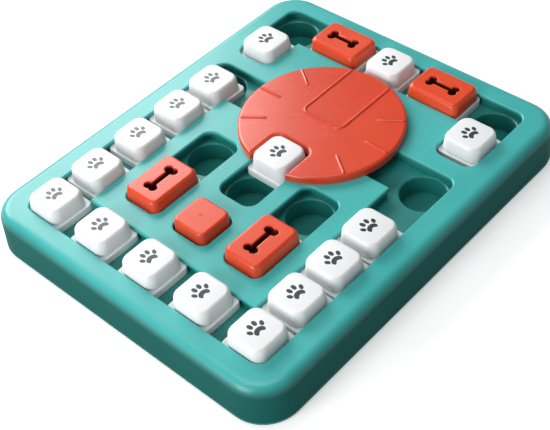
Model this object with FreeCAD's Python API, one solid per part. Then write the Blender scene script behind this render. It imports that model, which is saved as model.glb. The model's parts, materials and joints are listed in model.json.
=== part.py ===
import FreeCAD, Part
import math
import os

# Tray shell, all sizes in millimetres, origin at the middle of the footprint
LENGTH = 330.0
WIDTH = 270.0
DECK_TOP = 34.0
DECK_THICK = 3.0
SHELL_WALL = 2.6
WALL_DRAFT = 1.6
CORNER_R = 28.0
DECK_FILLET = 8.0
DECK_FILLET_IN = 5.4
FOOT_HEIGHT = 1.0
PAN_RIM = 2.4
PAN_INSET = 0.6

# Tracks and slots cut in the deck
SLOT = 33.0
SLOT_R = 8.5
SLOT_FLARE = 1.0
FLARE_DEPTH = 1.0
FLOOR_TOP = 25.0
FLOOR_THICK = 2.5
CHANNEL_WALL = 1.8
TRACK_X_LEFT = -127.5
TRACK_X_RIGHT = 42.5
TRACK_Y = 95.5
INNER_Y = 47.5
OUTER_X = 128.0
OUTER_LEG_X0 = 74.0
BONE_SLOT_X0 = -95.0
BONE_SLOT_X1 = -6.0
MIDDLE_SLOT_X0 = -49.0
MIDDLE_SLOT_X1 = 20.0
BRIDGE_HALF = 22.0

# Treat wells below the floor
WELL_R = 16.9
WELL_WALL = 1.5
WELL_DEPTH = 15.0
WELL_FLOOR = 2.0
WELL_RIM = 1.0
WELL_RIM_DEPTH = 0.8

# Slider base and cap of one key
LIP = 1.0
SLIDER = SLOT + 2 * LIP
SLIDER_R = 4.0
SLIDER_TOP = 30.6
SLIDER_WALL = 2.2
SLIDER_ROOF = 1.8
STEP = 31.2
STEP_TOP = 32.0
PEG = 25.8
PEG_TOP = 34.0
PEG_R = 5.6
PEG_FIT = 0.1
CAP_FOOT = 31.4
CAP_TOP = 29.4
CAP_R = 8.0
CAP_RISE = 8.5
CAP_FILLET = 3.0
CAP_WALL_TOP = 2.4
SIDE_FIT = 0.6

# Bone blocks
BLOCK_EXTRA = 12.0
BLOCK_LENGTH = 45.2
BLOCK_WIDTH = 31.8
BLOCK_DRAFT = 0.9
BLOCK_CHAMFER = 1.5
BLOCK_R = 5.0
BONE_DEPTH = 6.6
BONE_BAR = 16.0
BONE_BAR_W = 3.6
BONE_KNOB_R = 2.7
BONE_KNOB_X = 8.6
BONE_KNOB_Y = 2.0

# Square lift-out plug
PLUG_X = -79.0
PLUG_FOOT = 31.0
PLUG_TOP = 28.6
PLUG_RISE = 8.0
PLUG_GAP = 0.6
PLUG_HOLE = PLUG_FOOT + 2 * PLUG_GAP
PLUG_R = 6.0
PLUG_FILLET = 2.0
PLUG_DIMPLE_R = 1.1

# Turning disc and its pivot
DISC_X = 47.0
DISC_R = 62.0
DISC_THICK = 6.2
DISC_FILLET = 2.2
DISC_SKIN = 3.0
NOTCH_X = 17.2
NOTCH_HALF = 16.8
NOTCH_R = 7.0
RIDGE_R = 1.5
RIDGE_H = 0.9
RIDGE_R0 = 46.0
RIDGE_END = 2.6
WINDOW_X = 46.0
WINDOW_HALF = 18.0
WINDOW_R = 5.0
STEM_R = 8.0
STEM_FIT = 0.08
SLEEVE_R = 12.0
SLEEVE_BOTTOM = 22.0
CLIP_R = 11.0
CLIP_THICK = 2.0
CLIP_GAP = 0.1

# Screws, posts and feet
SHANK_R = 1.5
HOLE_FIT = 0.05
HEAD_R = 2.8
HEAD_H = 1.6
BOSS_R = 4.0
PAD_TOP = 5.0
POST_R = 4.0
POST_BORE = 2.0
FOOT_R = 8.0
FOOT_SEAT = 1.2
FOOT_EDGE_X = 27.0
FOOT_EDGE_Y = 23.0
SCREW_EDGE_X = 11.4
SCREW_EDGE_Y = 13.4
SCREW_X = 65.0
SCREW_Y = 55.0
TRAY_EDGE = 8.0

SHELL_BOTTOM = FOOT_HEIGHT + PAN_RIM
DECK_UNDER = DECK_TOP - DECK_THICK
REACH = LIP + SIDE_FIT
CAP_Z = DECK_TOP + CAP_RISE

LEFT_KEYS_Y = [TRACK_Y, TRACK_Y / 2, 0.0, -TRACK_Y / 2, -TRACK_Y]
BACK_KEYS_X = [-88.5, -47.0, -6.5, 31.0]
FRONT_KEYS_X = [-90.5, -54.0, -17.5]
BLOCK_X = -70.5
OUTER_BLOCK_BACK_Y = 46.0
OUTER_BLOCK_FRONT_Y = -49.0


def rounded_wire(cx, cy, lx, ly, r, z):
    """Closed rectangle with round corners, centred on cx, cy."""
    r = min(r, lx / 2 - 0.01, ly / 2 - 0.01)
    k = r * (1 - math.sqrt(0.5))
    x0, x1 = cx - lx / 2, cx + lx / 2
    y0, y1 = cy - ly / 2, cy + ly / 2

    def p(x, y):
        return FreeCAD.Vector(x, y, z)

    edges = [
        Part.makeLine(p(x0 + r, y0), p(x1 - r, y0)),
        Part.Arc(p(x1 - r, y0), p(x1 - k, y0 + k), p(x1, y0 + r)).toShape(),
        Part.makeLine(p(x1, y0 + r), p(x1, y1 - r)),
        Part.Arc(p(x1, y1 - r), p(x1 - k, y1 - k), p(x1 - r, y1)).toShape(),
        Part.makeLine(p(x1 - r, y1), p(x0 + r, y1)),
        Part.Arc(p(x0 + r, y1), p(x0 + k, y1 - k), p(x0, y1 - r)).toShape(),
        Part.makeLine(p(x0, y1 - r), p(x0, y0 + r)),
        Part.Arc(p(x0, y0 + r), p(x0 + k, y0 + k), p(x0 + r, y0)).toShape(),
    ]
    return Part.Wire(edges)


def slab(cx, cy, lx, ly, r, z0, z1):
    """Straight rounded block between two heights."""
    face = Part.Face(rounded_wire(cx, cy, lx, ly, r, z0))
    return face.extrude(FreeCAD.Vector(0, 0, z1 - z0))


def taper(cx, cy, low, high, r, z0, z1):
    """Rounded block whose length and width change from low to high."""
    grow = (high[0] - low[0]) / 2
    bottom = rounded_wire(cx, cy, low[0], low[1], r, z0)
    top = rounded_wire(cx, cy, high[0], high[1], max(r + grow, 0.5), z1)
    return Part.makeLoft([bottom, top], True, True)


def rod(x, y, r, z0, z1):
    """Upright cylinder."""
    return Part.makeCylinder(r, z1 - z0, FreeCAD.Vector(x, y, z0))


def fuse_all(shapes):
    """One clean solid from overlapping shapes."""
    return shapes[0].multiFuse(shapes[1:]).removeSplitter()


def edges_at(shape, z):
    """Edges lying wholly at one height."""
    found = []
    for edge in shape.Edges:
        box = edge.BoundBox
        if abs(box.ZMin - z) < 1e-4 and abs(box.ZMax - z) < 1e-4:
            found.append(edge)
    return found


def single(shape):
    """The one solid inside a boolean result."""
    solids = shape.Solids
    return max(solids, key=lambda solid: solid.Volume)


def track_boxes():
    """Every slot in the deck as (cx, cy, length, width)."""
    half = SLOT / 2
    left, right = TRACK_X_LEFT - half, TRACK_X_RIGHT + half
    row = ((left + right) / 2, right - left)
    back = TRACK_Y + half
    stub = back - BRIDGE_HALF
    leg = ((OUTER_LEG_X0 + OUTER_X + half) / 2, OUTER_X + half - OUTER_LEG_X0)
    bone = ((BONE_SLOT_X0 + BONE_SLOT_X1) / 2, BONE_SLOT_X1 - BONE_SLOT_X0)
    middle = ((MIDDLE_SLOT_X0 + MIDDLE_SLOT_X1) / 2, MIDDLE_SLOT_X1 - MIDDLE_SLOT_X0)
    boxes = [(TRACK_X_LEFT, 0, SLOT, 2 * back), (OUTER_X, 0, SLOT, 2 * back)]
    boxes.append((middle[0], 0, middle[1], SLOT))
    for side in (1, -1):
        boxes.append((row[0], side * TRACK_Y, row[1], SLOT))
        boxes.append((TRACK_X_RIGHT, side * (BRIDGE_HALF + stub / 2), SLOT, stub))
        boxes.append((leg[0], side * TRACK_Y, leg[1], SLOT))
        boxes.append((bone[0], side * INNER_Y, bone[1], SLOT))
    return boxes


def regions(grow, r, z0, z1):
    """All slots grown sideways by one amount, joined."""
    blocks = [slab(cx, cy, lx + 2 * grow, ly + 2 * grow, r, z0, z1)
              for cx, cy, lx, ly in track_boxes()]
    return blocks[0].multiFuse(blocks[1:])


def flared(cx, cy, lx, ly, r):
    """Cutter for one opening, wider at the deck face to round its edge."""
    mid = DECK_TOP - FLARE_DEPTH * 0.4
    low = DECK_TOP - FLARE_DEPTH
    a, b = SLOT_FLARE * 0.3, SLOT_FLARE
    over = 0.4 * (b - a) / (DECK_TOP - mid)
    body = slab(cx, cy, lx, ly, r, DECK_UNDER - 1, low)
    first = taper(cx, cy, (lx, ly), (lx + 2 * a, ly + 2 * a), r, low, mid)
    last = taper(cx, cy, (lx + 2 * a, ly + 2 * a),
                 (lx + 2 * (b + over), ly + 2 * (b + over)), r + a, mid, DECK_TOP + 0.4)
    return [body, first, last]


def case_screw_spots():
    """Screws round the rim, through the base into the shell."""
    x, y = LENGTH / 2 - SCREW_EDGE_X, WIDTH / 2 - SCREW_EDGE_Y
    return [(sx * x, sy * SCREW_Y) for sx in (1, -1) for sy in (1, -1)] + [
        (sx * SCREW_X, sy * y) for sx in (1, -1) for sy in (1, -1)]


def tray_screw_spots():
    """Screws up through the well tray into the middle of the deck."""
    return [(x, side * y) for x, y in ((10.0, 47.5), (-103.0, 31.0), (85.0, 60.0))
            for side in (1, -1)]


def post_spots():
    """Posts of the base that hold the well tray up."""
    return [(x, side * y) for x, y in ((-85.0, 72.0), (0.0, 72.0), (85.0, 22.0))
            for side in (1, -1)]


def well_spots():
    """Centres of the round treat wells."""
    spots = [(TRACK_X_LEFT, 0.0), (OUTER_X, 0.0), (PLUG_X, 0.0), (-32.0, 0.0)]
    for side in (1, -1):
        spots.append((TRACK_X_LEFT, side * TRACK_Y))
        spots.append((TRACK_X_RIGHT, side * TRACK_Y))
        spots.append((-42.5, side * TRACK_Y))
        spots.append((OUTER_X, side * TRACK_Y))
        spots.append((-23.0, side * INNER_Y))
    return spots


def top_shell():
    """Deck, skirt, bosses and the pivot sleeve as one moulding."""
    body = taper(0, 0, (LENGTH, WIDTH), (LENGTH - 2 * WALL_DRAFT, WIDTH - 2 * WALL_DRAFT),
                 CORNER_R, SHELL_BOTTOM, DECK_TOP)
    body = body.makeFillet(DECK_FILLET, edges_at(body, DECK_TOP))
    inner = 2 * SHELL_WALL
    lift = 2 * WALL_DRAFT * (DECK_UNDER - SHELL_BOTTOM) / (DECK_TOP - SHELL_BOTTOM)
    hollow = taper(0, 0, (LENGTH - inner, WIDTH - inner),
                   (LENGTH - inner - lift, WIDTH - inner - lift),
                   CORNER_R - SHELL_WALL, SHELL_BOTTOM, DECK_UNDER)
    hollow = hollow.makeFillet(DECK_FILLET_IN, edges_at(hollow, DECK_UNDER))
    body = body.cut(hollow)
    bosses = [rod(x, y, BOSS_R, PAD_TOP, DECK_UNDER + 0.5) for x, y in case_screw_spots()]
    bosses += [rod(x, y, BOSS_R, FLOOR_TOP, DECK_UNDER + 0.5) for x, y in tray_screw_spots()]
    bosses.append(rod(DISC_X, 0, SLEEVE_R, SLEEVE_BOTTOM, DECK_UNDER + 0.5))
    body = body.multiFuse(bosses)
    cutters = []
    for cx, cy, lx, ly in track_boxes():
        cutters += flared(cx, cy, lx, ly, SLOT_R)
    cutters += flared(PLUG_X, 0, PLUG_HOLE, PLUG_HOLE, PLUG_R + 0.6)
    body = body.cut(cutters[0].multiFuse(cutters[1:]))
    bores = [rod(x, y, SHANK_R + HOLE_FIT, PAD_TOP - 1, PAD_TOP + 16) for x, y in case_screw_spots()]
    bores += [rod(x, y, SHANK_R + HOLE_FIT, FLOOR_TOP - 1, DECK_UNDER) for x, y in tray_screw_spots()]
    bores.append(rod(DISC_X, 0, STEM_R + STEM_FIT, SLEEVE_BOTTOM - 1, DECK_TOP + 1))
    return single(body.cut(bores[0].multiFuse(bores[1:])))


def well_tray():
    """Channel floor with guide walls and hanging treat wells."""
    low = FLOOR_TOP - FLOOR_THICK
    plate = slab(0, 0, LENGTH - 2 * TRAY_EDGE, WIDTH - 2 * TRAY_EDGE, CORNER_R - TRAY_EDGE, low, FLOOR_TOP)
    walls = regions(REACH + CHANNEL_WALL, SLIDER_R + 2, FLOOR_TOP - 0.5, DECK_UNDER)
    pocket = PLUG_HOLE + 2 * REACH
    rim = slab(PLUG_X, 0, pocket + 2 * CHANNEL_WALL, pocket + 2 * CHANNEL_WALL, 4, FLOOR_TOP - 0.5, DECK_UNDER)
    cups = []
    holes = []
    for x, y in well_spots():
        bottom = FLOOR_TOP - WELL_DEPTH
        cups.append(rod(x, y, WELL_R + WELL_WALL, bottom - WELL_FLOOR, FLOOR_TOP - 1))
        holes.append(rod(x, y, WELL_R, bottom, FLOOR_TOP + 1))
        cone = Part.makeCone(WELL_R, WELL_R + WELL_RIM, WELL_RIM_DEPTH,
                             FreeCAD.Vector(x, y, FLOOR_TOP - WELL_RIM_DEPTH))
        holes.append(cone)
    body = plate.multiFuse([walls, rim] + cups)
    body = body.cut(regions(REACH, SLIDER_R, FLOOR_TOP, DECK_UNDER + 1))
    holes.append(slab(PLUG_X, 0, pocket, pocket, 3, FLOOR_TOP, DECK_UNDER + 1))
    holes.append(rod(DISC_X, 0, SLEEVE_R + 0.5, low - 1, DECK_UNDER + 1))
    for x, y in case_screw_spots():
        holes.append(rod(x, y, BOSS_R + 0.3, low - 1, DECK_UNDER + 1))
    for x, y in tray_screw_spots():
        holes.append(rod(x, y, SHANK_R + 0.2, low - 1, FLOOR_TOP + 1))
    return single(body.cut(holes[0].multiFuse(holes[1:])).removeSplitter())


def base_pan():
    """Closing plate whose rim shows as a thin line under the skirt."""
    low = FOOT_HEIGHT
    body = slab(0, 0, LENGTH - 2 * PAN_INSET, WIDTH - 2 * PAN_INSET, CORNER_R - PAN_INSET, low, SHELL_BOTTOM)
    adds = [rod(x, y, BOSS_R + 0.8, SHELL_BOTTOM - 0.5, PAD_TOP) for x, y in case_screw_spots()]
    adds += [rod(x, y, POST_R, SHELL_BOTTOM - 0.5, FLOOR_TOP - FLOOR_THICK) for x, y in post_spots()]
    body = body.multiFuse(adds)
    cuts = [rod(x, y, SHANK_R + 0.2, low - 1, PAD_TOP + 1) for x, y in case_screw_spots()]
    cuts += [rod(x, y, HEAD_R + 0.2, low - 1, low + HEAD_H) for x, y in case_screw_spots()]
    cuts += [rod(x, y, POST_BORE, SHELL_BOTTOM, FLOOR_TOP) for x, y in post_spots()]
    cuts += [rod(x, y, FOOT_R + 0.1, low - 1, low + FOOT_SEAT) for x, y in foot_spots()]
    return single(body.cut(cuts[0].multiFuse(cuts[1:])))


def foot_spots():
    """Rubber pads near the corners and the middle of the long sides."""
    end, y = LENGTH / 2 - FOOT_EDGE_X, WIDTH / 2 - FOOT_EDGE_Y
    return [(x, side * y) for x in (-end, 0.0, end) for side in (1, -1)]


def feet():
    """Six rubber pads pressed into shallow seats."""
    pads = []
    for x, y in foot_spots():
        pad = rod(x, y, FOOT_R, 0.0, FOOT_HEIGHT + FOOT_SEAT)
        pads.append(pad.makeChamfer(0.5, edges_at(pad, 0.0)))
    return Part.makeCompound(pads)


def screw(x, y, seat, length):
    """Pan-head screw standing upright, its head below the seat."""
    head = rod(x, y, HEAD_R, seat - HEAD_H, seat)
    head = head.makeChamfer(0.5, edges_at(head, seat - HEAD_H))
    slot = Part.makeBox(3.2, 0.7, 0.8, FreeCAD.Vector(x - 1.6, y - 0.35, seat - HEAD_H))
    return head.fuse(rod(x, y, SHANK_R, seat - 0.2, seat + length)).cut(slot)


def slider(cx, cy, along_x, extra):
    """White carriage: hollow plate, raised step and locating peg."""
    ax, ay = (extra, 0.0) if along_x else (0.0, extra)
    body = slab(cx, cy, SLIDER + ax, SLIDER + ay, SLIDER_R, FLOOR_TOP, SLIDER_TOP)
    step = slab(cx, cy, STEP + ax, STEP + ay, CAP_R, SLIDER_TOP - 0.2, STEP_TOP)
    peg = slab(cx, cy, PEG + ax, PEG + ay, PEG_R, STEP_TOP - 0.2, PEG_TOP)
    inner = SLIDER - 2 * SLIDER_WALL
    hollow = slab(cx, cy, inner + ax, inner + ay, SLIDER_R - 1.5, FLOOR_TOP, SLIDER_TOP - SLIDER_ROOF)
    body = fuse_all([body, step, peg]).cut(hollow)
    return single(body)


def key_cap(cx, cy):
    """Drafted push cap with a soft top edge and a hollow underside."""
    body = taper(cx, cy, (CAP_FOOT, CAP_FOOT), (CAP_TOP, CAP_TOP), CAP_R, STEP_TOP, CAP_Z)
    body = body.makeFillet(CAP_FILLET, edges_at(body, CAP_Z))
    inner = PEG + 2 * PEG_FIT
    hollow = slab(cx, cy, inner, inner, PEG_R + PEG_FIT, STEP_TOP, CAP_Z - CAP_WALL_TOP)
    return single(body.cut(hollow))


def bone_cutter(cx, cy, along_x, z0, z1):
    """Bone outline: a bar with two round knobs at each end."""
    parts = [Part.makeBox(BONE_BAR, BONE_BAR_W, z1 - z0,
                          FreeCAD.Vector(-BONE_BAR / 2, -BONE_BAR_W / 2, z0))]
    for sx in (1, -1):
        for sy in (1, -1):
            parts.append(rod(sx * BONE_KNOB_X, sy * BONE_KNOB_Y, BONE_KNOB_R, z0, z1))
    bone = fuse_all(parts)
    if not along_x:
        bone.rotate(FreeCAD.Vector(0, 0, 0), FreeCAD.Vector(0, 0, 1), 90)
    bone.translate(FreeCAD.Vector(cx, cy, 0))
    return bone


def bone_block(cx, cy, along_x):
    """Long block with a bevelled top edge and a bone-shaped finger grip."""
    ax, ay = (BLOCK_EXTRA, 0.0) if along_x else (0.0, BLOCK_EXTRA)
    foot = (BLOCK_LENGTH, BLOCK_WIDTH) if along_x else (BLOCK_WIDTH, BLOCK_LENGTH)
    top = (foot[0] - 2 * BLOCK_DRAFT, foot[1] - 2 * BLOCK_DRAFT)
    body = taper(cx, cy, foot, top, BLOCK_R + BLOCK_DRAFT, STEP_TOP, CAP_Z)
    body = body.makeChamfer(BLOCK_CHAMFER, edges_at(body, CAP_Z))
    inner = PEG + 2 * PEG_FIT
    pocket = slab(cx, cy, inner + ax, inner + ay, PEG_R + PEG_FIT, STEP_TOP, PEG_TOP + 0.2)
    grip = bone_cutter(cx, cy, along_x, CAP_Z - BONE_DEPTH, CAP_Z + 1)
    return single(body.cut(pocket).cut(grip))


def plug():
    """Square lift-out plug with a small dimple in its top."""
    body = taper(PLUG_X, 0, (PLUG_FOOT, PLUG_FOOT), (PLUG_TOP, PLUG_TOP), PLUG_R,
                 FLOOR_TOP, DECK_TOP + PLUG_RISE)
    body = body.makeFillet(PLUG_FILLET, edges_at(body, DECK_TOP + PLUG_RISE))
    hollow = slab(PLUG_X, 0, PLUG_FOOT - 5, PLUG_FOOT - 5, 1.5, FLOOR_TOP, DECK_TOP + PLUG_RISE - 2.4)
    dimple = rod(PLUG_X, 0, PLUG_DIMPLE_R, DECK_TOP + PLUG_RISE - 0.4, DECK_TOP + PLUG_RISE + 1)
    return single(body.cut(hollow).cut(dimple))


def notch(grow, z0, z1):
    """Square bite in the rim of the disc, rounded at its inner corners."""
    x0 = DISC_X - DISC_R - 12
    x1 = NOTCH_X + grow
    return slab((x0 + x1) / 2, 0, x1 - x0, 2 * (NOTCH_HALF + grow), NOTCH_R, z0, z1)


def ridge(angle):
    """Raised half-round rib running in from the rim of the disc."""
    z = DECK_TOP + DISC_THICK + RIDGE_H - RIDGE_R
    start = FreeCAD.Vector(RIDGE_R0, 0, z)
    bar = Part.makeCylinder(RIDGE_R, DISC_R - RIDGE_END - RIDGE_R0, start, FreeCAD.Vector(1, 0, 0))
    bar = bar.fuse(Part.makeSphere(RIDGE_R, start))
    bar.rotate(FreeCAD.Vector(0, 0, 0), FreeCAD.Vector(0, 0, 1), angle)
    bar.translate(FreeCAD.Vector(DISC_X, 0, 0))
    return bar


def window_ridge():
    """Raised half-round outline shaped like the notch, on the far side of the disc."""
    z = DECK_TOP + DISC_THICK + RIDGE_H - RIDGE_R
    far = DISC_X + math.sqrt((DISC_R - RIDGE_END) ** 2 - WINDOW_HALF ** 2)
    side = WINDOW_HALF - WINDOW_R
    near = WINDOW_X + WINDOW_R
    parts = [Part.makeCylinder(RIDGE_R, 2 * side, FreeCAD.Vector(WINDOW_X, -side, z), FreeCAD.Vector(0, 1, 0))]
    for way, turn in ((1, 90), (-1, 180)):
        parts.append(Part.makeCylinder(RIDGE_R, far - near, FreeCAD.Vector(near, way * WINDOW_HALF, z),
                                       FreeCAD.Vector(1, 0, 0)))
        bend = Part.makeTorus(WINDOW_R, RIDGE_R, FreeCAD.Vector(0, 0, 0), FreeCAD.Vector(0, 0, 1), -180, 180, 90)
        bend.rotate(FreeCAD.Vector(0, 0, 0), FreeCAD.Vector(0, 0, 1), turn)
        bend.translate(FreeCAD.Vector(near, way * side, z))
        parts.append(bend)
    return parts[0].multiFuse(parts[1:])


def disc():
    """Turning disc, hollow below, with its pivot stem."""
    top = DECK_TOP + DISC_THICK
    plate = rod(DISC_X, 0, DISC_R, DECK_TOP, top).cut(notch(0, DECK_TOP - 1, top + 1))
    plate = plate.makeFillet(DISC_FILLET, edges_at(plate, top))
    under = rod(DISC_X, 0, DISC_R - DISC_SKIN, DECK_TOP, top - DISC_SKIN)
    under = under.cut(notch(DISC_SKIN, DECK_TOP - 1, top)).cut(rod(DISC_X, 0, SLEEVE_R, DECK_TOP - 1, top))
    body = plate.cut(under)
    ribs = [ridge(side * angle) for side in (1, -1) for angle in (55, 90, 125)]
    stem = rod(DISC_X, 0, STEM_R, SLEEVE_BOTTOM - CLIP_GAP, DECK_TOP + 1)
    body = body.multiFuse(ribs + [window_ridge(), stem])
    bore = rod(DISC_X, 0, SHANK_R + HOLE_FIT, SLEEVE_BOTTOM - 1, DECK_TOP + 1)
    return single(body.cut(bore))


def clip():
    """Washer that keeps the disc's stem in its sleeve."""
    top = SLEEVE_BOTTOM - CLIP_GAP
    ring = rod(DISC_X, 0, CLIP_R, top - CLIP_THICK, top)
    return ring.cut(rod(DISC_X, 0, SHANK_R + HOLE_FIT, top - CLIP_THICK - 1, top + 1))


def key_list():
    """Name and centre of every paw key."""
    keys = [("key_left_%d" % (i + 1), TRACK_X_LEFT, y) for i, y in enumerate(LEFT_KEYS_Y)]
    keys += [("key_back_%d" % (i + 1), x, TRACK_Y) for i, x in enumerate(BACK_KEYS_X)]
    keys += [("key_front_%d" % (i + 1), x, -TRACK_Y) for i, x in enumerate(FRONT_KEYS_X)]
    keys.append(("key_outer_1", 92.6, TRACK_Y))
    keys.append(("key_outer_2", OUTER_X, 0.0))
    keys.append(("key_outer_3", 97.0, -TRACK_Y))
    keys.append(("key_lock", 0.0, 0.0))
    return keys


def block_list():
    """Name, centre and direction of every bone block."""
    return [
        ("bone_back", BLOCK_X, INNER_Y, True),
        ("bone_front", BLOCK_X, -INNER_Y, True),
        ("bone_outer_1", OUTER_X, OUTER_BLOCK_BACK_Y, False),
        ("bone_outer_2", OUTER_X, OUTER_BLOCK_FRONT_Y, False),
    ]


def save(name, shape):
    """Write one node."""
    shape.exportStep("parts/%s.step" % name)


def main():
    os.makedirs("parts", exist_ok=True)
    save("top_shell", top_shell())
    save("well_tray", well_tray())
    save("base_pan", base_pan())
    save("rubber_feet", feet())
    save("case_screws", Part.makeCompound([screw(x, y, FOOT_HEIGHT + HEAD_H, 15.0)
                                           for x, y in case_screw_spots()]))
    save("tray_screws", Part.makeCompound([screw(x, y, FLOOR_TOP - FLOOR_THICK, 7.5)
                                           for x, y in tray_screw_spots()]))
    for name, x, y in key_list():
        save(name + "_slider", slider(x, y, True, 0.0))
        save(name + "_cap", key_cap(x, y))
    for name, x, y, along_x in block_list():
        save(name + "_slider", slider(x, y, along_x, BLOCK_EXTRA))
        save(name + "_cap", bone_block(x, y, along_x))
    save("square_plug", plug())
    save("turning_disc", disc())
    save("pivot_clip", clip())
    save("pivot_screw", screw(DISC_X, 0, SLEEVE_BOTTOM - CLIP_GAP - CLIP_THICK, 12.0))


main()
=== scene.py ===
import bpy
import bmesh
import json
import math
from mathutils import Matrix, Vector

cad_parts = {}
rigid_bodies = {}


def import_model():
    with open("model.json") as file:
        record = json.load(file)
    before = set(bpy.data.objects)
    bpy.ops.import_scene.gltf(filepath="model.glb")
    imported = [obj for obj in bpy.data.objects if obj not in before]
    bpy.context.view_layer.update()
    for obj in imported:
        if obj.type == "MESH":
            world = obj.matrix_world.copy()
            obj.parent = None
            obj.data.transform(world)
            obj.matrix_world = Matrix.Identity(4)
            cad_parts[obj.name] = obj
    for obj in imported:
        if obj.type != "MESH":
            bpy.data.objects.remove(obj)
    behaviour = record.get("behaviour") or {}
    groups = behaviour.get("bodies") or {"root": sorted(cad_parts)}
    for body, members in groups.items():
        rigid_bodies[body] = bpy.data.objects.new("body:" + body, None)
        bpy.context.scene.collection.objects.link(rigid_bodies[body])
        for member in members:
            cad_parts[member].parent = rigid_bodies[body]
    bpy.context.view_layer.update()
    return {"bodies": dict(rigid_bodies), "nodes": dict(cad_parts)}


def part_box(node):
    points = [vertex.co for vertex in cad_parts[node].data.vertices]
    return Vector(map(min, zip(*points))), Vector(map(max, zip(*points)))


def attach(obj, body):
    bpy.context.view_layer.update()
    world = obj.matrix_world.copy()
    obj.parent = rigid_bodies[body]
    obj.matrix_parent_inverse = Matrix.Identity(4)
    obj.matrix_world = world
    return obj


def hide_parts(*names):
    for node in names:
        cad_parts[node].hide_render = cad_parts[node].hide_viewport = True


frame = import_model()
nodes = frame["nodes"]

# Top shell.
# One injection-moulded turquoise deck with a drafted skirt; satin plastic whose
# fine spark-eroded grain scatters the light, screwed down from below.
SHELL_TOP = (0.045, 0.385, 0.365)
SHELL_LIGHT = (0.060, 0.425, 0.405)
# Painted shade: the skirt is coloured darker than the deck, fading in below the deck's edge.
SKIRT_PAINTED_SHADE_DARK = (0.008, 0.080, 0.070)
SKIRT_PAINTED_SHADE_LIGHT = (0.010, 0.095, 0.084)
SHELL_SHEEN = 0.45
SKIRT_SHEEN = 0.015
SKIRT_ROUGH = 0.5
SKIRT_CLOUD_SCALE = 9.0
SHADE_FADE_BELOW = 0.0092
SHADE_FADE_ABOVE = 0.0003
CLOUD_SCALE = 14.0
CLOUD_EDGES = (0.3, 0.7)
CLOUD_DULLING = 0.03
RUB_SCALE = 90.0
RUB_EDGES = (0.55, 0.8)
RUB_DULLING = 0.10
FINE_GRAIN_SCALE = 1800.0
FINE_GRAIN_SHARE = 0.6
COARSE_GRAIN_SCALE = 420.0
COARSE_GRAIN_SHARE = 0.4
GRAIN_DEPTH = 0.0002
COAT_ROUGH = 0.25


class Value:
    """A shader socket that adds and multiplies like a number."""

    def __init__(self, tree, socket):
        self.tree = tree
        self.socket = socket

    def __add__(self, other):
        return self.tree.math("ADD", self, other)

    def __radd__(self, other):
        return self.tree.math("ADD", other, self)

    def __mul__(self, other):
        return self.tree.math("MULTIPLY", self, other)

    def __rmul__(self, other):
        return self.tree.math("MULTIPLY", other, self)


def spaced(inputs):
    """Socket names, which have spaces, from keyword names."""
    return {key.replace("_", " "): value for key, value in inputs.items()}


class Tree:
    """The node tree of one new material."""

    def __init__(self, name):
        self.material = bpy.data.materials.new(name)
        self.material.use_nodes = True
        self.tree = self.material.node_tree
        self.shader = self.tree.nodes["Principled BSDF"]
        self.tint = None

    def plug(self, target, source):
        if isinstance(source, Value):
            self.tree.links.new(source.socket, target)
        else:
            target.default_value = source

    def plug_all(self, node, sockets):
        for key, value in sockets.items():
            self.plug(node.inputs[key], value)

    def node(self, kind, settings, sockets, output=0):
        """A new node: its settings first, then its sockets by name or number."""
        made = self.tree.nodes.new(kind)
        for key, value in settings.items():
            setattr(made, key, value)
        self.plug_all(made, sockets)
        return Value(self, made.outputs[output])

    def math(self, operation, a, b):
        return self.node("ShaderNodeMath", {"operation": operation}, {0: a, 1: b})

    def place(self):
        return self.node("ShaderNodeTexCoord", {}, {}, "Object")

    def height(self):
        return self.node("ShaderNodeSeparateXYZ", {}, {"Vector": self.place()}, "Z")

    def noise(self, scale, detail=2.0, rough=0.5):
        sockets = {"Vector": self.place(), "Scale": scale, "Detail": detail, "Roughness": rough}
        return self.node("ShaderNodeTexNoise", {}, sockets, "Fac")

    def step(self, value, low, high):
        sockets = {"Value": value, "From Min": low, "From Max": high}
        return self.node("ShaderNodeMapRange", {"interpolation_type": "SMOOTHSTEP"}, sockets, "Result")

    def blend(self, factor, a, b):
        a, b = (colour if isinstance(colour, Value) else (*colour, 1.0) for colour in (a, b))
        return self.node("ShaderNodeMix", {"data_type": "RGBA"}, {"Factor": factor, 6: a, 7: b}, 2)

    def bump(self, height, strength, distance):
        sockets = {"Height": height, "Strength": strength, "Distance": distance}
        return self.node("ShaderNodeBump", {}, sockets)

    def mix_shader(self, factor, **inputs):
        """Lays a second plastic shader, the skirt's painted shade, over the first where factor is low.
        """
        other = self.node("ShaderNodeBsdfPrincipled", {}, spaced(inputs))
        first = Value(self, self.shader.outputs[0])
        mixed = self.node("ShaderNodeMixShader", {}, {0: factor, 1: other, 2: first})
        self.plug(self.tree.nodes["Material Output"].inputs["Surface"], mixed)

    def set(self, **inputs):
        self.plug_all(self.shader, spaced(inputs))


def moulded(name, low, high, rough, grain, coat=0.0):
    """Moulded plastic: cloudy colour, fine grain and faint rub marks."""
    tree = Tree(name)
    cloud = tree.step(tree.noise(CLOUD_SCALE, detail=3.0), *CLOUD_EDGES)
    rub = tree.step(tree.noise(RUB_SCALE, detail=5.0, rough=0.7), *RUB_EDGES)
    fine = tree.noise(FINE_GRAIN_SCALE) * FINE_GRAIN_SHARE
    coarse = tree.noise(COARSE_GRAIN_SCALE, detail=3.0) * COARSE_GRAIN_SHARE
    tree.tint = tree.blend(cloud, low, high)
    tree.set(Base_Color=tree.tint, Roughness=rough + rub * RUB_DULLING + cloud * CLOUD_DULLING,
             Normal=tree.bump(fine + coarse, grain, GRAIN_DEPTH), Coat_Weight=coat,
             Coat_Roughness=COAT_ROUGH)
    return tree


def paint(node, tree):
    """Gives a CAD node its material."""
    nodes[node].data.materials.clear()
    nodes[node].data.materials.append(tree.material)


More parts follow.
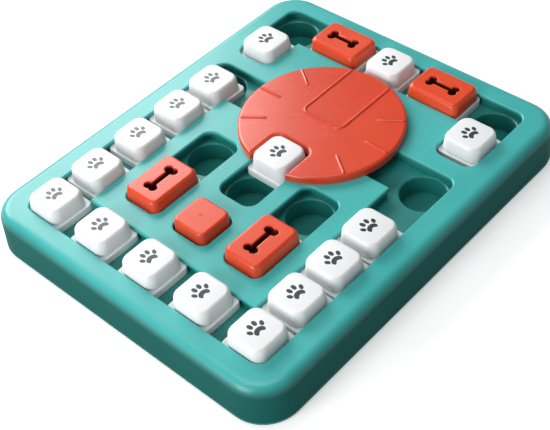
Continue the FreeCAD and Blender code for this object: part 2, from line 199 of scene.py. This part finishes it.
shell = moulded("shell_plastic", SHELL_TOP, SHELL_LIGHT, rough=0.28, grain=0.16)
deck_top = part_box("top_shell")[1].z
# Painted shade: below the deck's edge the colour fades into the skirt's darker painted shade.
painted_shade_fade = shell.step(shell.height(), deck_top - SHADE_FADE_BELOW, deck_top + SHADE_FADE_ABOVE)
skirt_painted_shade = shell.blend(shell.noise(SKIRT_CLOUD_SCALE), SKIRT_PAINTED_SHADE_DARK, SKIRT_PAINTED_SHADE_LIGHT)
shell.set(Base_Color=shell.blend(painted_shade_fade, SKIRT_PAINTED_SHADE_DARK, shell.tint), Specular_IOR_Level=SHELL_SHEEN)
shell.mix_shader(painted_shade_fade, Base_Color=skirt_painted_shade, Roughness=SKIRT_ROUGH,
                 Specular_IOR_Level=SKIRT_SHEEN)
paint("top_shell", shell)

# Well tray.
# A moulding under the deck, coloured darker than the deck as painted shade: flat channel floor,
# guide walls and round cups for the treats, held up against the deck by six screws.
TRAY_PAINTED_SHADE_DARK = (0.012, 0.190, 0.170)
TRAY_PAINTED_SHADE_LIGHT = (0.020, 0.240, 0.215)
# Painted shade: the tray takes the deck's plastic in a darker colour.
tray_shaded_plastic = moulded("tray_shaded_plastic", TRAY_PAINTED_SHADE_DARK, TRAY_PAINTED_SHADE_LIGHT, rough=0.33, grain=0.15)
paint("well_tray", tray_shaded_plastic)

# Base plate, rubber feet and screws.
# The closing plate shows as a thin dark line below the skirt; six pads and eight
# plated screws are on its hidden side, and the other seven screws sit inside.
BASE_DARK = (0.008, 0.120, 0.105)
BASE_LIGHT = (0.012, 0.150, 0.130)
RUBBER_DARK = (0.012, 0.013, 0.013)
RUBBER_LIGHT = (0.020, 0.021, 0.021)
STEEL_DARK = (0.50, 0.50, 0.52)
STEEL_LIGHT = (0.62, 0.62, 0.64)
base_plastic = moulded("base_plastic", BASE_DARK, BASE_LIGHT, rough=0.45, grain=0.3)
paint("base_pan", base_plastic)
foot_rubber = moulded("foot_rubber", RUBBER_DARK, RUBBER_LIGHT, rough=0.8, grain=0.5)
paint("rubber_feet", foot_rubber)
steel = moulded("screw_steel", STEEL_DARK, STEEL_LIGHT, rough=0.3, grain=0.1)
steel.set(Metallic=1.0)
for name in ("case_screws", "tray_screws", "pivot_screw"):
    paint(name, steel)

# Sliders.
# White carriages that run in the channels; the step on top carries the cap and
# their flanges, with a small rounded edge, show as pale ledges beside the keys.
SLIDER_DARK = (0.66, 0.70, 0.70)
SLIDER_LIGHT = (0.74, 0.77, 0.77)
FOOT_GAP = 0.00004
FLANGE_RISE = 0.0056
FLANGE_EDGE = 0.0006
FLANGE_SOFT = 0.3 * FLANGE_EDGE
FLANGE_CORNER = 0.0040
ROOF_INSET = 0.0024
ROOF_CORNER = 0.0030
ROOF_RISE = 0.0038
WALL_INSET = 0.0022
WALL_CORNER = 0.0025
STEP_RISE = 0.0070
STEP_INSET = 0.0019
STEP_CORNER = 0.0078
STEP_ROOT = 0.0003
ROOT_CORNER = 0.0080
PEG_INSET = 0.0046
PEG_CORNER = 0.0056
CORNER_STEPS = 8
SHARP_ANGLE = 35.0
slider_white = moulded("slider_white", SLIDER_DARK, SLIDER_LIGHT, rough=0.36, grain=0.12)
paint("pivot_clip", slider_white)


def rounded_ring(half_x, half_y, radius, z):
    """Points round a rectangle with circular corners, centred on the Z axis."""
    points = []
    for corner, (sx, sy) in enumerate(((1, 1), (-1, 1), (-1, -1), (1, -1))):
        cx, cy = sx * (half_x - radius), sy * (half_y - radius)
        for i in range(CORNER_STEPS + 1):
            angle = math.radians(90.0 * (corner + i / CORNER_STEPS))
            points.append(Vector((cx + radius * math.cos(angle), cy + radius * math.sin(angle), z)))
    return points


def loop_edges(bm, loop):
    """Edges between the neighbours of a closed vertex loop, made where missing."""
    pairs = zip(loop, loop[1:] + loop[:1])
    return [bm.edges.get(pair) or bm.edges.new(pair) for pair in pairs]


def tube(bm, rings, centre):
    """Side faces extruded through rings of equal count; returns the vertex loops."""
    loops = [[bm.verts.new(point + centre) for point in rings[0]]]
    for ring in rings[1:]:
        grown = bmesh.ops.extrude_edge_only(bm, edges=loop_edges(bm, loops[-1]))["geom"]
        fresh = {part for part in grown if isinstance(part, bmesh.types.BMVert)}
        loop = []
        for vert, point in zip(loops[-1], ring):
            neighbours = [edge.other_vert(vert) for edge in vert.link_edges]
            twin = next(other for other in neighbours if other in fresh)
            twin.co = point + centre
            loop.append(twin)
        loops.append(loop)
    return loops


def closed_tube(bm, rings, centre):
    """A tube with a flat face on each end."""
    loops = tube(bm, rings, centre)
    bm.faces.new(loops[0])
    bm.faces.new(loops[-1])


def show(name, bm, sharp_angle, *trees):
    """New object from a closed mesh, smooth except across sharp corners."""
    bmesh.ops.recalc_face_normals(bm, faces=bm.faces)
    mesh = bpy.data.meshes.new(name)
    bm.to_mesh(mesh)
    bm.free()
    for face in mesh.polygons:
        face.use_smooth = True
    mesh.set_sharp_from_angle(angle=math.radians(sharp_angle))
    for tree in trees:
        mesh.materials.append(tree.material)
    made = bpy.data.objects.new(name, mesh)
    bpy.context.scene.collection.objects.link(made)
    return made


def measure(node):
    """Half length, half width, foot centre and height of a CAD node."""
    low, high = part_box(node)
    centre = Vector(((low.x + high.x) / 2, (low.y + high.y) / 2, low.z))
    return (high.x - low.x) / 2, (high.y - low.y) / 2, centre, high.z - low.z


def rounded_rings(half_x, half_y, steps):
    """One rounded ring for each (inset, corner radius, height)."""
    return [rounded_ring(half_x - inset, half_y - inset, corner, z) for inset, corner, z in steps]


def slider(body):
    """One carriage in place of its CAD node."""
    node = body + "_slider"
    half_x, half_y, centre, height = measure(node)
    steps = [
        (ROOF_INSET, ROOF_CORNER, ROOF_RISE),
        (WALL_INSET, WALL_CORNER, FOOT_GAP),
        (0.0, FLANGE_CORNER, FOOT_GAP),
        (0.0, FLANGE_CORNER, FLANGE_RISE - FLANGE_EDGE),
        (FLANGE_SOFT, FLANGE_CORNER, FLANGE_RISE - FLANGE_SOFT),
        (FLANGE_EDGE, FLANGE_CORNER, FLANGE_RISE),
        (STEP_INSET - STEP_ROOT, ROOT_CORNER, FLANGE_RISE),
        (STEP_INSET, STEP_CORNER, FLANGE_RISE + STEP_ROOT),
        (STEP_INSET, STEP_CORNER, STEP_RISE),
        (PEG_INSET, PEG_CORNER, STEP_RISE),
        (PEG_INSET, PEG_CORNER, height),
    ]
    bm = bmesh.new()
    closed_tube(bm, rounded_rings(half_x, half_y, steps), centre)
    made = show(body + "_slider_shown", bm, SHARP_ANGLE, slider_white)
    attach(made, body)
    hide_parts(node)


for body in frame["bodies"]:
    if body.startswith(("key_", "bone_")):
        slider(body)

# Paw keys.
# Sixteen white caps with drafted sides and a soft top edge, snapped over the
# slider's peg; a dark slate paw print is pad-printed on each top, toes to +Y.
CAP_DARK = (0.75, 0.76, 0.76)
CAP_LIGHT = (0.80, 0.81, 0.81)
INK_DARK = (0.022, 0.036, 0.042)
INK_LIGHT = (0.035, 0.050, 0.056)
CAP_FILLET = 0.0021
CAP_DRAFT = 0.0010
CAP_CORNER = 0.0074
CAP_SHRINK = 0.00004
CAP_SHOULDER = 0.0002
CAP_WALL = 0.0027
CAP_WALL_CORNER = 0.0051
CAP_ROOF_INSET = 0.0037
CAP_ROOF_CORNER = 0.0044
CAP_ROOF = 0.0024
FILLET_STEPS = 6
PRINT_DROP = 0.00001
PAD_HALF = 0.0043
PAD_RISE = 0.0034
PAD_LOBE = 0.0017
PAD_Y = -0.0030
PAD_POINTS = 48
TOE_POINTS = 28
# Each toe: x and y of its middle, half width, half length, lean in degrees
TOES = (
    (-0.0053, 0.0007, 0.00145, 0.00215, 26.0),
    (-0.0020, 0.0040, 0.00150, 0.00235, 7.0),
    (0.0020, 0.0040, 0.00150, 0.00235, -7.0),
    (0.0053, 0.0007, 0.00145, 0.00215, -26.0),
)
cap_white = moulded("cap_white", CAP_DARK, CAP_LIGHT, rough=0.34, grain=0.10)
paw_ink = moulded("paw_ink", INK_DARK, INK_LIGHT, rough=0.30, grain=0.05)


def cap_steps(height):
    """Inside ceiling, inside wall, foot, drafted side and rounded top edge."""
    steps = [
        (CAP_ROOF_INSET, CAP_ROOF_CORNER, height - CAP_ROOF),
        (CAP_WALL, CAP_WALL_CORNER, 0.0),
        (0.0, CAP_CORNER, 0.0),
        (CAP_DRAFT - CAP_SHOULDER, CAP_CORNER, height - CAP_FILLET),
    ]
    for i in range(1, FILLET_STEPS + 1):
        turn = math.radians(90.0 * i / FILLET_STEPS)
        inset = CAP_FILLET * (1 - math.cos(turn))
        rise = CAP_FILLET * (1 - math.sin(turn))
        steps.append((CAP_DRAFT + inset, CAP_CORNER - inset, height - rise))
    return steps


def paw_outlines():
    """Crescent main pad with two soft lobes, and four leaning oval toes."""
    pad = []
    for i in range(PAD_POINTS):
        angle = 2 * math.pi * i / PAD_POINTS
        reach = math.sin(angle)
        y = PAD_Y + (PAD_RISE * reach if reach > 0 else -PAD_LOBE * math.sin(2 * angle) ** 2)
        pad.append((PAD_HALF * math.cos(angle), y))
    outlines = [pad]
    for x, y, half_width, half_length, lean in TOES:
        turn = math.radians(lean)
        toe = []
        for i in range(TOE_POINTS):
            angle = 2 * math.pi * i / TOE_POINTS
            u, v = half_width * math.cos(angle), half_length * math.sin(angle)
            toe.append((x + u * math.cos(turn) - v * math.sin(turn),
                        y + u * math.sin(turn) + v * math.cos(turn)))
        outlines.append(toe)
    return outlines


def add_print(made, centre, z):
    """Flat printed paw lying on top of a cap, in its second material."""
    bm = bmesh.new()
    bm.from_mesh(made.data)
    for outline in paw_outlines():
        face = bm.faces.new([bm.verts.new((centre.x + x, centre.y + y, z)) for x, y in outline])
        face.normal_update()
        if face.normal.z < 0:
            face.normal_flip()
        face.material_index = 1
    bm.to_mesh(made.data)
    bm.free()


def key_cap(body):
    """One paw key's cap in place of its CAD node."""
    node = body + "_cap"
    half_x, half_y, centre, height = measure(node)
    bm = bmesh.new()
    closed_tube(bm, rounded_rings(half_x, half_y, cap_steps(height - CAP_SHRINK)), centre)
    cap = show(body + "_cap_shown", bm, SHARP_ANGLE, cap_white, paw_ink)
    add_print(cap, centre, centre.z + height - PRINT_DROP)
    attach(cap, body)
    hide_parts(node)


for body in frame["bodies"]:
    if body.startswith("key_"):
        key_cap(body)

# Bone blocks.
# Four orange blocks with a narrow bevel round the top; each has a deep grip in
# the shape of a bone, its lip eased by the mould, its inside coloured dark as painted shade.
ORANGE_DARK = (0.66, 0.054, 0.012)
ORANGE_LIGHT = (0.73, 0.068, 0.016)
# Painted shade for the deep inside of each grip.
GRIP_PAINTED_SHADE_DARK = (0.060, 0.005, 0.003)
GRIP_PAINTED_SHADE_LIGHT = (0.080, 0.007, 0.004)
BLOCK_DRAFT = 0.0009
SIDE_DRAFT = 0.8 * BLOCK_DRAFT
BLOCK_BEVEL = 0.0016
BLOCK_CORNER = 0.0050
TOP_CORNER = 0.0040
BEVEL_SOFT = 0.0002
BEVEL_REST = 0.0003
TOP_BAND = 0.0008
POCKET_HALF = 0.0130
POCKET_RISE = 0.0022
BAR_HALF = 0.0021
KNOB_R = 0.0032
KNOB_X = 0.0101
KNOB_Y = 0.0024
KNOB_POINTS = 14
GRIP_LIT = 0.0016
GRIP_DEPTH = 0.0078
BLOCK_SHARP_ANGLE = 40.0
# How far the grip's edge stands out and lies below the top, from lip to bottom
GRIP_STEPS = (
    (0.0008, 0.0),
    (0.0004, 0.0),
    (0.00015, 0.0001),
    (0.0, 0.0004),
    (0.0, GRIP_LIT),
    (0.0, GRIP_DEPTH),
)
orange = moulded("orange_plastic", ORANGE_DARK, ORANGE_LIGHT, rough=0.28, grain=0.12, coat=0.1)
orange_painted_shade = moulded("orange_painted_shade", GRIP_PAINTED_SHADE_DARK, GRIP_PAINTED_SHADE_LIGHT, rough=0.6, grain=0.10)


def bone_outline(grow, z, along_x):
    """Closed bone outline: two knobs at each end of a narrow bar."""
    radius, bar = KNOB_R + grow, BAR_HALF + grow
    start = math.pi - math.asin((bar - KNOB_Y) / radius)
    end = -math.asin(KNOB_Y / radius)
    arc = []
    for i in range(KNOB_POINTS + 1):
        angle = start + (end - start) * i / KNOB_POINTS
        arc.append((KNOB_X + radius * math.cos(angle), KNOB_Y + radius * math.sin(angle)))
    right = arc[:-1] + [(x, -y) for x, y in reversed(arc)]
    loop = right + [(-x, -y) for x, y in right]
    if not along_x:
        loop = [(-y, x) for x, y in loop]
    return [Vector((x, y, z)) for x, y in loop]


def bone_block(body):
    """One orange block in place of its CAD node."""
    node = body + "_cap"
    half_x, half_y, centre, height = measure(node)
    height -= CAP_SHRINK
    pocket = min(half_x, half_y) - POCKET_HALF
    edge = BLOCK_DRAFT + BLOCK_BEVEL
    steps = [
        (pocket, BLOCK_CORNER, POCKET_RISE),
        (pocket, BLOCK_CORNER, 0.0),
        (0.0, BLOCK_CORNER, 0.0),
        (SIDE_DRAFT, BLOCK_CORNER, height - BLOCK_BEVEL - BEVEL_REST),
        (BLOCK_DRAFT + BEVEL_SOFT, BLOCK_CORNER, height - BLOCK_BEVEL + BEVEL_SOFT),
        (edge - BEVEL_SOFT, TOP_CORNER, height - BEVEL_SOFT),
        (edge + BEVEL_REST, TOP_CORNER, height),
        (edge + TOP_BAND, TOP_CORNER, height),
    ]
    bm = bmesh.new()
    sides = tube(bm, rounded_rings(half_x, half_y, steps), centre)
    along_x = half_x > half_y
    grip_rings = [bone_outline(grow, height - drop, along_x) for grow, drop in GRIP_STEPS]
    grip = tube(bm, grip_rings, centre)
    bm.faces.new(sides[0])
    bm.faces.new(grip[-1])
    # Painted shade: the grip's lower walls and bottom take the dark orange material.
    painted_shade_faces = set(grip[-1]) | set(grip[-2])
    for face in bm.faces:
        if set(face.verts) <= painted_shade_faces:
            face.material_index = 1
    rim = loop_edges(bm, sides[-1]) + loop_edges(bm, grip[0])
    bmesh.ops.triangle_fill(bm, use_beauty=True, use_dissolve=False, edges=rim)
    made = show(body + "_cap_shown", bm, BLOCK_SHARP_ANGLE, orange, orange_painted_shade)
    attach(made, body)
    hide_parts(node)


for body in frame["bodies"]:
    if body.startswith("bone_"):
        bone_block(body)

# Plug and disc.
# The lift-out plug and the turning disc come from the same orange plastic; the
# disc's ribs and window outline stand proud and catch the light.
DISC_DARK = (0.60, 0.042, 0.009)
DISC_LIGHT = (0.67, 0.054, 0.013)
DISC_R = 0.0620
RIB_R = 0.0014
RIB_START = 0.0400
RIB_END = 0.0604
RIB_ANGLES = (55.0, 90.0, 125.0)
RIB_END_TURNS = (15, 40, 65, 90)
RIB_SIDES = 16
RIB_SHARP_ANGLE = 60.0
disc_orange = moulded("disc_plastic", DISC_DARK, DISC_LIGHT, rough=0.25, grain=0.14, coat=0.3)
paint("square_plug", orange)
paint("turning_disc", disc_orange)


def rib_profile():
    """Distance from the disc's axis and radius along one round-ended rib."""
    ends = []
    for degrees in RIB_END_TURNS:
        turn = math.radians(degrees)
        ends.append((RIB_R * (1 - math.cos(turn)), RIB_R * math.sin(turn)))
    profile = [(RIB_START + along, radius) for along, radius in ends]
    return profile + [(RIB_END - along, radius) for along, radius in reversed(ends)]


def rib_ring(along, radius):
    """Circle across a rib that lies along the X axis."""
    points = []
    for i in range(RIB_SIDES):
        angle = 2 * math.pi * i / RIB_SIDES
        points.append(Vector((along, radius * math.cos(angle), radius * math.sin(angle))))
    return points


def disc_ribs():
    """Six half-round ribs with round ends, running in from the disc's rim."""
    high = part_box("turning_disc")[1]
    centre = Vector((high.x - DISC_R, 0.0, high.z - RIB_R - CAP_SHRINK))
    bm = bmesh.new()
    for side in (1, -1):
        for angle in RIB_ANGLES:
            way = Matrix.Rotation(math.radians(side * angle), 3, "Z")
            rings = [rib_ring(along, radius) for along, radius in rib_profile()]
            closed_tube(bm, [[way @ point for point in ring] for ring in rings], centre)
    made = show("disc_ribs_shown", bm, RIB_SHARP_ANGLE, disc_orange)
    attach(made, "turning_disc")


disc_ribs()

# Floor, light and camera.
# A pale seamless floor; a broad window behind that leaves its sheen on the left
# half, a soft light from the left, a weak one above, and a long, tilted lens.
FLOOR_SIZE = 6.0
FLOOR_DARK = (0.80, 0.80, 0.80)
FLOOR_LIGHT = (0.84, 0.84, 0.84)
FLOOR_GLOW = 0.42
WHITE = (1.0, 1.0, 1.0, 1.0)
WORLD_COLOUR = (0.95, 0.97, 1.0, 1.0)
WORLD_STRENGTH = 0.21
# Each light: name, place, target, width, height, power
LIGHTS = (
    ("key_light", (0.33, 1.28, 0.88), (0, 0, 0), 1.3, 0.7, 25.0),
    ("left_light", (-1.25, 0.05, 0.55), (-0.1, 0, 0.01), 0.8, 0.8, 14.0),
    ("top_light", (-0.1, 0.2, 1.6), (0, 0, 0), 0.9, 0.9, 7.0),
)
AIM = Vector((-0.0437, -0.0323, 0.034))
DISTANCE = 0.7759
AZIMUTH = math.radians(-43.83)
ELEVATION = math.radians(45.53)
ROLL = math.radians(-5.97)
FOCAL_PIXELS = 1141.5
PHOTO_WIDTH = 550
SENSOR_WIDTH = 36.0
SHIFT_X = 0.005

bpy.ops.mesh.primitive_plane_add(size=FLOOR_SIZE, location=(0, 0, 0))
floor = bpy.context.object
floor.name = "floor"
ground = moulded("floor_paper", FLOOR_DARK, FLOOR_LIGHT, rough=0.9, grain=0.05)
ground.set(Emission_Color=WHITE, Emission_Strength=FLOOR_GLOW)
floor.data.materials.append(ground.material)

world = bpy.data.worlds.new("studio")
world.use_nodes = True
sky = world.node_tree.nodes["Background"]
sky.inputs["Color"].default_value = WORLD_COLOUR
sky.inputs["Strength"].default_value = WORLD_STRENGTH
bpy.context.scene.world = world


def area_light(name, place, target, width, height, power):
    """Rectangular soft light aimed at a point."""
    data = bpy.data.lights.new(name, "AREA")
    data.shape = "RECTANGLE"
    data.size = width
    data.size_y = height
    data.energy = power
    made = bpy.data.objects.new(name, data)
    made.location = place
    made.rotation_euler = (Vector(target) - Vector(place)).to_track_quat("-Z", "Y").to_euler()
    bpy.context.scene.collection.objects.link(made)


for light in LIGHTS:
    area_light(*light)
bpy.context.scene.view_settings.view_transform = "Standard"

back = Vector((math.sin(AZIMUTH) * math.cos(ELEVATION), -math.cos(AZIMUTH) * math.cos(ELEVATION),
               math.sin(ELEVATION)))
right = Vector((math.cos(AZIMUTH), math.sin(AZIMUTH), 0.0))
up = back.cross(right)
side = right * math.cos(ROLL) + up * math.sin(ROLL)
over = up * math.cos(ROLL) - right * math.sin(ROLL)
lens = bpy.data.cameras.new("camera")
lens.sensor_width = SENSOR_WIDTH
lens.lens = FOCAL_PIXELS / PHOTO_WIDTH * SENSOR_WIDTH
lens.shift_x = SHIFT_X
camera = bpy.data.objects.new("camera", lens)
turn = Matrix((side, over, back)).transposed().to_4x4()
camera.matrix_world = Matrix.Translation(AIM + back * DISTANCE) @ turn
bpy.context.scene.collection.objects.link(camera)
bpy.context.scene.camera = camera
